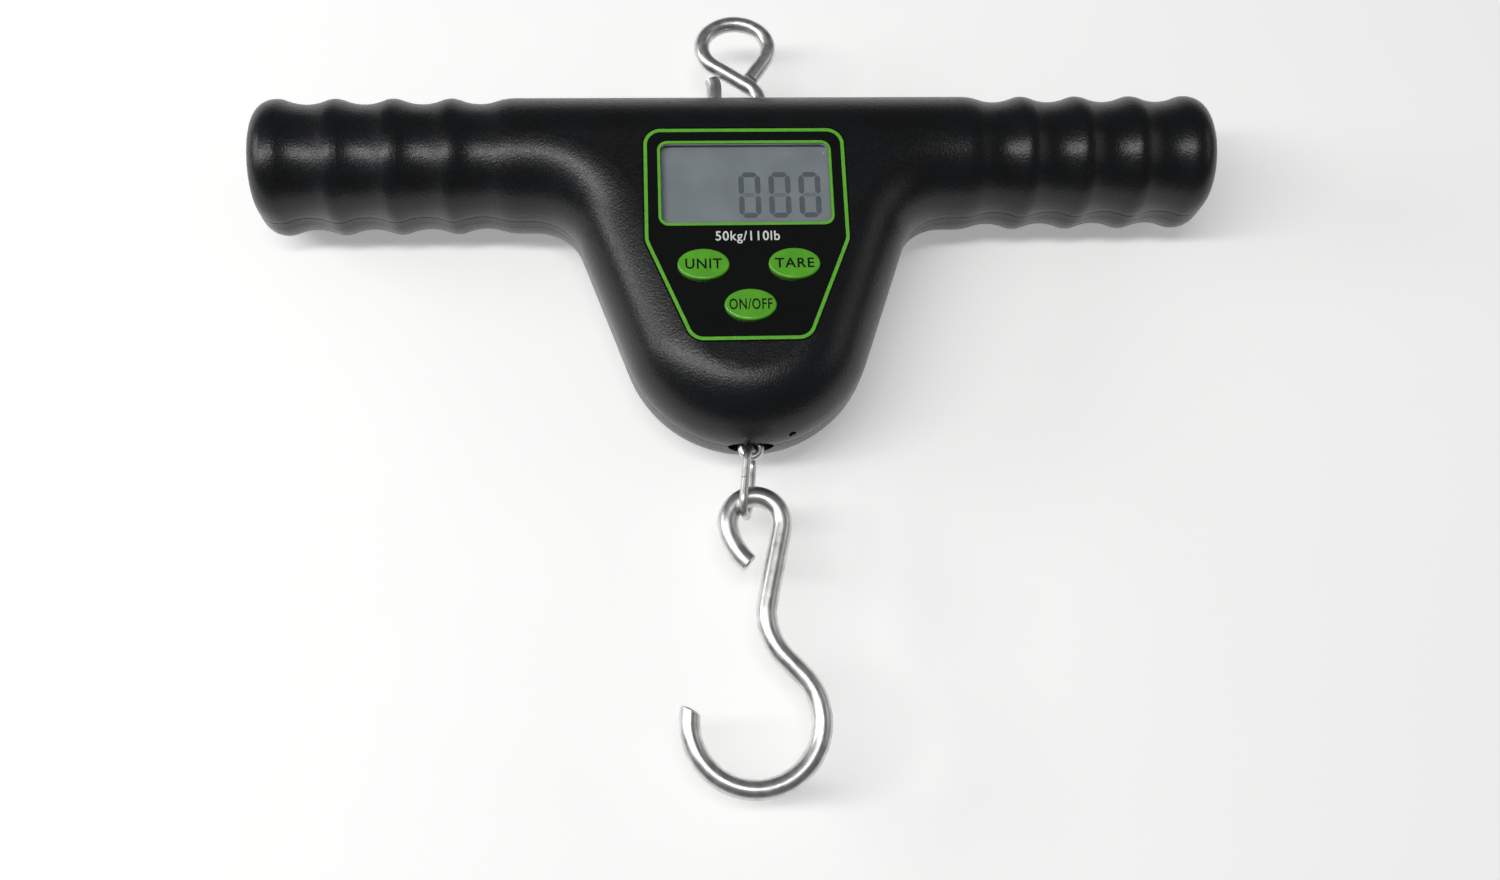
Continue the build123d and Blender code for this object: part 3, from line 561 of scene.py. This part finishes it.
def shrunk_sleeve():
    """Printed sleeve shrunk on a dry cell: charcoal, with copper at the upper end of both cells."""
    material, tree, shader, places = new_finish("Vinyl sleeve, charcoal and copper")
    low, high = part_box("batteries")
    split = low.z + 0.72 * (high.z - low.z)
    height = add_node(tree, "ShaderNodeSeparateXYZ", {"Vector": places}).outputs["Z"]
    above = add_node(tree, "ShaderNodeMath", {0: height, 1: split}, operation="GREATER_THAN")
    mix = add_node(tree, "ShaderNodeMix", {
        0: above.outputs[0], 7: opaque(linear("#b0713c")),
        6: mottled_colour(tree, places, 5 * MM, linear("#1d2226"), linear("#272d32"))}, data_type="RGBA")
    plug(tree, shader, {
        "Base Color": mix.outputs[2],
        "Roughness": mottled_value(tree, places, 3 * MM, 0.22, 0.34),
        "Normal": pitted(tree, places, 2 * MM, 0.02 * MM, 0.5),
    })
    return material


def soft_vinyl(name, hex_colour):
    """PVC insulation: soft, slightly waxy, with dust in its surface."""
    material, tree, shader, places = new_finish(name)
    colour = linear(hex_colour)
    tone = [channel * 0.75 for channel in colour]
    plug(tree, shader, {
        "Base Color": mottled_colour(tree, places, 2 * MM, tone, colour),
        "Roughness": mottled_value(tree, places, 1 * MM, 0.4, 0.55),
        "Normal": pitted(tree, places, 0.5 * MM, 0.01 * MM),
    })
    return material


# ---------------------------------------------------------------- operators
class HANGING_SCALE_OT_case(bpy.types.Operator):
    """Finishes the two halves of the grip and the battery door"""
    bl_idname = "hanging_scale.case"
    bl_label = "Grip and Battery Door"

    def execute(self, context):
        paint(eroded_abs(context.scene.scale_case), "front_shell", "rear_shell", "battery_cover")
        return {"FINISHED"}


class HANGING_SCALE_OT_label(bpy.types.Operator):
    """Finishes the label's film and prints its lines and its capacity"""
    bl_idname = "hanging_scale.label"
    bl_label = "Label"

    def execute(self, context):
        label = context.scene.scale_label
        paint(polycarbonate_film(label), "label_overlay")
        green = screen_ink("Screen ink, green", label.ink)
        white = screen_ink("Screen ink, white", label.words_ink)
        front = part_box("label_overlay")[0].y
        y_back, y_front = front + PRINT_SUNK, front - PRINT_RISE
        edge, window = front_loops("label_overlay")[:2]
        outer = grown(edge, -label.border_margin)
        inner = grown(edge, -label.border_margin - label.border_width)
        border = band_mesh("label_border", inner, outer, y_back, y_front)
        add_piece("label_border", border, green, HOUSING)
        line_inner = grown(window, LINE_START)
        line_outer = grown(window, LINE_START + label.window_line)
        line = band_mesh("window_border", line_inner, line_outer, y_back, y_front)
        add_piece("window_border", line, green, HOUSING)
        low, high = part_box("display_window")
        centre = (0.0, (low.z + high.z) / 2 - label.words_drop)
        words = word_mesh("capacity_print", label.words, centre, label.words_width, label.words_height,
                          y_back, y_front, 0.012)
        add_piece("capacity_print", words, white, HOUSING)
        return {"FINISHED"}


class HANGING_SCALE_OT_keys(bpy.types.Operator):
    """Finishes the three keys and prints their legends"""
    bl_idname = "hanging_scale.keys"
    bl_label = "Keys"

    def execute(self, context):
        keys = context.scene.scale_keys
        paint(gloss_abs(keys), *KEY_BODIES)
        black = screen_ink("Pad ink, black", keys.ink)
        legends = {
            "key_unit": (keys.unit_words, 8.7 * MM, 2.6 * MM, 0.016),
            "key_tare": (keys.tare_words, 9.4 * MM, 2.5 * MM, 0.016),
            "key_power": (keys.power_words, 10.2 * MM, 2.7 * MM, 0.014),
        }
        for node, (words, width, height, boldness) in legends.items():
            low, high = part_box(node)
            centre = ((low.x + high.x) / 2, (low.z + high.z) / 2)
            name = node.replace("key", "legend")
            mesh = word_mesh(name, words, centre, width, height,
                             low.y + PRINT_SUNK, low.y - LEGEND_RISE, boldness)
            add_piece(name, mesh, black, KEY_BODIES[node])
        return {"FINISHED"}


def bar(start, end, width, gap):
    """One straight segment with pointed ends, as an outline between two points."""
    start, end = Vector(start), Vector(end)
    along = (end - start).normalized()
    across = Vector((-along.y, along.x)) * width / 2
    start, end = start + along * gap, end - along * gap
    shoulder = along * width / 2
    return [start, start + shoulder + across, end - shoulder + across, end, end - shoulder - across,
            start + shoulder - across]


def figure_bars(middle_x, middle_z, screen):
    """The six lit segments of a zero, and the unlit one across its middle."""
    half_w = (screen.figure_width - screen.segment_width) / 2
    half_h = (screen.figure_height - screen.segment_width) / 2
    left, right = middle_x - half_w, middle_x + half_w
    rows = (middle_z - half_h, middle_z, middle_z + half_h)
    ends = [((left, rows[0]), (right, rows[0])), ((left, rows[2]), (right, rows[2]))]
    for x in (left, right):
        ends += [((x, rows[0]), (x, rows[1])), ((x, rows[1]), (x, rows[2]))]
    width, gap = screen.segment_width, screen.segment_gap
    lit = [bar(start, end, width, gap / 2) for start, end in ends]
    return lit, bar((left, rows[1]), (right, rows[1]), width * 0.8, gap)


class HANGING_SCALE_OT_screen(bpy.types.Operator):
    """Finishes the display and its pane, and draws the figures"""
    bl_idname = "hanging_scale.screen"
    bl_label = "Display"

    def execute(self, context):
        screen = context.scene.scale_screen
        paint(clear_acrylic(), "display_window")
        paint(reflective_display(screen), "display_module")
        paint(moulded_styrene(), "display_frame")
        paint(layered_silicone(), "zebra_strips")
        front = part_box("display_module")[0].y
        low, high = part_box("display_window")
        middle_z = (low.z + high.z) / 2 - screen.figures_drop
        lit, unlit = [], []
        for place in range(3):
            bars, middle = figure_bars(screen.last_figure - place * screen.figure_pitch, middle_z, screen)
            lit += bars
            unlit.append(middle)
        y_back, y_front = front + PRINT_SUNK, front - PRINT_RISE
        shapes = {"figures_lit": ("Liquid crystal, lit", screen.lit, lit),
                  "figures_unlit": ("Liquid crystal, unlit", screen.unlit, unlit)}
        for name, (finish, colour, outlines) in shapes.items():
            mesh = plate_mesh(name, outlines, y_back, y_front)
            add_piece(name, mesh, screen_ink(finish, colour), HOUSING)
        return {"FINISHED"}


class HANGING_SCALE_OT_wirework(bpy.types.Operator):
    """Finishes the hanging ring, the link, the hook and the eyes that they pass through"""
    bl_idname = "hanging_scale.wirework"
    bl_label = "Ring, Link and Hook"

    def execute(self, context):
        wire = context.scene.scale_wire
        paint(drawn_stainless(wire), "hang_ring", "link", "hook", "lower_eye_bolt")
        return {"FINISHED"}


class HANGING_SCALE_OT_load_cell(bpy.types.Operator):
    """Finishes the load cell, its gauges, its eye bolt and its nuts"""
    bl_idname = "hanging_scale.load_cell"
    bl_label = "Load Cell"

    def execute(self, context):
        wire = context.scene.scale_wire
        paint(milled_aluminium(wire), "load_cell")
        paint(polyimide_gauge(), "strain_gauges")
        zinc = plated_metal("Steel, bright zinc", wire.zinc, 0.4, 0.26, 1.2 * MM)
        paint(zinc, "upper_eye_bolt", "lock_nuts", "cell_screws")
        paint(soft_vinyl("Vinyl, grey", "#7c7f82"), "load_cell_lead")
        return {"FINISHED"}


class HANGING_SCALE_OT_electronics(bpy.types.Operator):
    """Finishes the circuit board and what is on it"""
    bl_idname = "hanging_scale.electronics"
    bl_label = "Circuit Board"

    def execute(self, context):
        wire = context.scene.scale_wire
        paint(solder_mask(), "circuit_board")
        paint(phenolic_switch(), "tact_switches")
        paint(moulded_epoxy(), "board_components")
        paint(plated_metal("Steel, zinc screws", wire.zinc, 0.42, 0.28, 0.8 * MM), "board_screws")
        return {"FINISHED"}


class HANGING_SCALE_OT_battery(bpy.types.Operator):
    """Finishes the cells, their contacts and their leads"""
    bl_idname = "hanging_scale.battery"
    bl_label = "Batteries"

    def execute(self, context):
        wire = context.scene.scale_wire
        paint(shrunk_sleeve(), "batteries")
        paint(plated_metal("Spring steel, nickel", wire.nickel, 0.3, 0.18, 1 * MM), "battery_contacts")
        paint(soft_vinyl("Vinyl, red", "#b5201c"), "battery_lead_red")
        paint(soft_vinyl("Vinyl, black", "#1b1b1c"), "battery_lead_black")
        return {"FINISHED"}


class HANGING_SCALE_OT_fasteners(bpy.types.Operator):
    """Finishes the case screws"""
    bl_idname = "hanging_scale.fasteners"
    bl_label = "Case Screws"

    def execute(self, context):
        paint(plated_metal("Steel, black zinc", linear("#3a3b3e"), 0.45, 0.32, 0.7 * MM), "case_screws")
        return {"FINISHED"}


def white_sheet(studio):
    """Matt card. Only its front shows, so the back of what lies on it can be looked at too."""
    material, tree, shader, places = new_finish("Card, matt white")
    tone = [channel * 0.985 for channel in studio.sheet]
    plug(tree, shader, {
        "Base Color": mottled_colour(tree, places, 60 * MM, tone, studio.sheet),
        "Roughness": 0.9,
        "Specular IOR Level": 0.1,
        "Emission Color": opaque(studio.sheet),
        "Emission Strength": studio.sheet_glow,
    })
    side = add_node(tree, "ShaderNodeNewGeometry").outputs["Backfacing"]
    clear = add_node(tree, "ShaderNodeBsdfTransparent")
    mix = add_node(tree, "ShaderNodeMixShader", {0: side, 1: shader.outputs[0], 2: clear.outputs[0]})
    tree.links.new(mix.outputs[0], tree.nodes["Material Output"].inputs["Surface"])
    return material


def add_lamp(name, place, aim, size, power, tint="#ffffff"):
    """A soft rectangular lamp at a place, turned to its aim."""
    data = bpy.data.lights.new(name, "AREA")
    data.shape = "RECTANGLE"
    data.size, data.size_y = size
    data.energy = power
    data.color = linear(tint)
    lamp = bpy.data.objects.new(name, data)
    bpy.context.scene.collection.objects.link(lamp)
    lamp.location = place
    lamp.rotation_mode = "QUATERNION"
    lamp.rotation_quaternion = (Vector(aim) - Vector(place)).to_track_quat("-Z", "Y")
    return lamp


class HANGING_SCALE_OT_stage(bpy.types.Operator):
    """Sets up the sheet, the lamps, the room's light and the camera"""
    bl_idname = "hanging_scale.stage"
    bl_label = "Studio"

    def execute(self, context):
        studio = context.scene.scale_studio
        self.add_sheet(studio)
        self.add_lamps()
        self.add_room(context.scene, studio)
        self.add_camera(context.scene, studio)
        return {"FINISHED"}

    def add_sheet(self, studio):
        half = 2.0
        y = CAD_BOX[1].y + studio.sheet_gap
        mesh = bpy.data.meshes.new("sheet")
        mesh.from_pydata([(-half, y, -half), (half, y, -half), (half, y, half), (-half, y, half)], [],
                         [(0, 1, 2, 3)])
        mesh.materials.append(white_sheet(studio))
        sheet = bpy.data.objects.new("sheet", mesh)
        bpy.context.scene.collection.objects.link(sheet)
        sheet.visible_shadow = False

    def add_lamps(self):
        aim = (0.0, 0.0, -0.08)
        add_lamp("window_front", (-0.40, -0.90, -0.15), aim, (1.10, 0.11), 6.2)
        add_lamp("window_left", (-0.80, -0.36, 0.05), aim, (0.20, 0.40), 1.6)
        add_lamp("window_right", (0.80, -0.45, 0.00), aim, (0.35, 0.60), 0.5)
        add_lamp("back_high", (0.20, 0.70, 0.45), aim, (0.50, 0.50), 2.0)
        add_lamp("back_low", (-0.45, 0.60, -0.10), aim, (0.30, 0.60), 1.2)

    def add_room(self, scene, studio):
        room = bpy.data.worlds.new("room")
        room.use_nodes = True
        tree = room.node_tree
        light = tree.nodes["Background"]
        plug(tree, light, {"Color": opaque(linear("#f3f5f7")), "Strength": studio.world_light})
        seen = add_node(tree, "ShaderNodeBackground", {"Color": opaque(linear("#f1f1f0")), "Strength": 1.0})
        straight = add_node(tree, "ShaderNodeLightPath").outputs["Is Camera Ray"]
        mix = add_node(tree, "ShaderNodeMixShader", {0: straight, 1: light.outputs[0], 2: seen.outputs[0]})
        tree.links.new(mix.outputs[0], tree.nodes["World Output"].inputs["Surface"])
        scene.world = room
        scene.view_settings.view_transform = "Standard"

    def add_camera(self, scene, studio):
        around, drop = studio.azimuth, studio.drop
        ahead = Vector((math.sin(around) * math.cos(drop), math.cos(around) * math.cos(drop), math.sin(drop)))
        data = bpy.data.cameras.new("camera")
        data.sensor_width = 36.0
        data.lens = studio.lens
        data.clip_start = 0.01
        camera = bpy.data.objects.new("camera", data)
        scene.collection.objects.link(camera)
        camera.location = Vector(studio.aim) - ahead * studio.distance
        camera.rotation_mode = "QUATERNION"
        lean = Quaternion((0.0, 0.0, 1.0), studio.roll)
        camera.rotation_quaternion = ahead.to_track_quat("-Z", "Y") @ lean
        scene.camera = camera


OPERATORS = (
    HANGING_SCALE_OT_stage, HANGING_SCALE_OT_case, HANGING_SCALE_OT_label, HANGING_SCALE_OT_keys,
    HANGING_SCALE_OT_screen, HANGING_SCALE_OT_wirework, HANGING_SCALE_OT_load_cell,
    HANGING_SCALE_OT_electronics, HANGING_SCALE_OT_battery, HANGING_SCALE_OT_fasteners,
)
SETTINGS = {
    "scale_case": CaseSettings, "scale_label": LabelSettings, "scale_keys": KeySettings,
    "scale_screen": ScreenSettings, "scale_wire": WireSettings, "scale_studio": StudioSettings,
}


class HANGING_SCALE_PT_panel(bpy.types.Panel):
    """Lists the scale's operators and settings"""
    bl_label = "Hanging Scale"
    bl_idname = "HANGING_SCALE_PT_panel"
    bl_space_type = "VIEW_3D"
    bl_region_type = "UI"
    bl_category = "Hanging Scale"

    def draw(self, context):
        for operator in OPERATORS:
            self.layout.operator(operator.bl_idname)
        for name, group in SETTINGS.items():
            box = self.layout.box()
            box.label(text=group.__doc__)
            for setting in group.__annotations__:
                box.prop(getattr(context.scene, name), setting)


def register():
    for name, group in SETTINGS.items():
        bpy.utils.register_class(group)
        setattr(bpy.types.Scene, name, PointerProperty(type=group))
    for operator in OPERATORS:
        bpy.utils.register_class(operator)
    bpy.utils.register_class(HANGING_SCALE_PT_panel)


def unregister():
    bpy.utils.unregister_class(HANGING_SCALE_PT_panel)
    for operator in reversed(OPERATORS):
        bpy.utils.unregister_class(operator)
    for name, group in SETTINGS.items():
        delattr(bpy.types.Scene, name)
        bpy.utils.unregister_class(group)


def main():
    register()
    for operator in OPERATORS:
        category, name = operator.bl_idname.split(".")
        getattr(getattr(bpy.ops, category), name)()


if __name__ == "__main__":
    main()
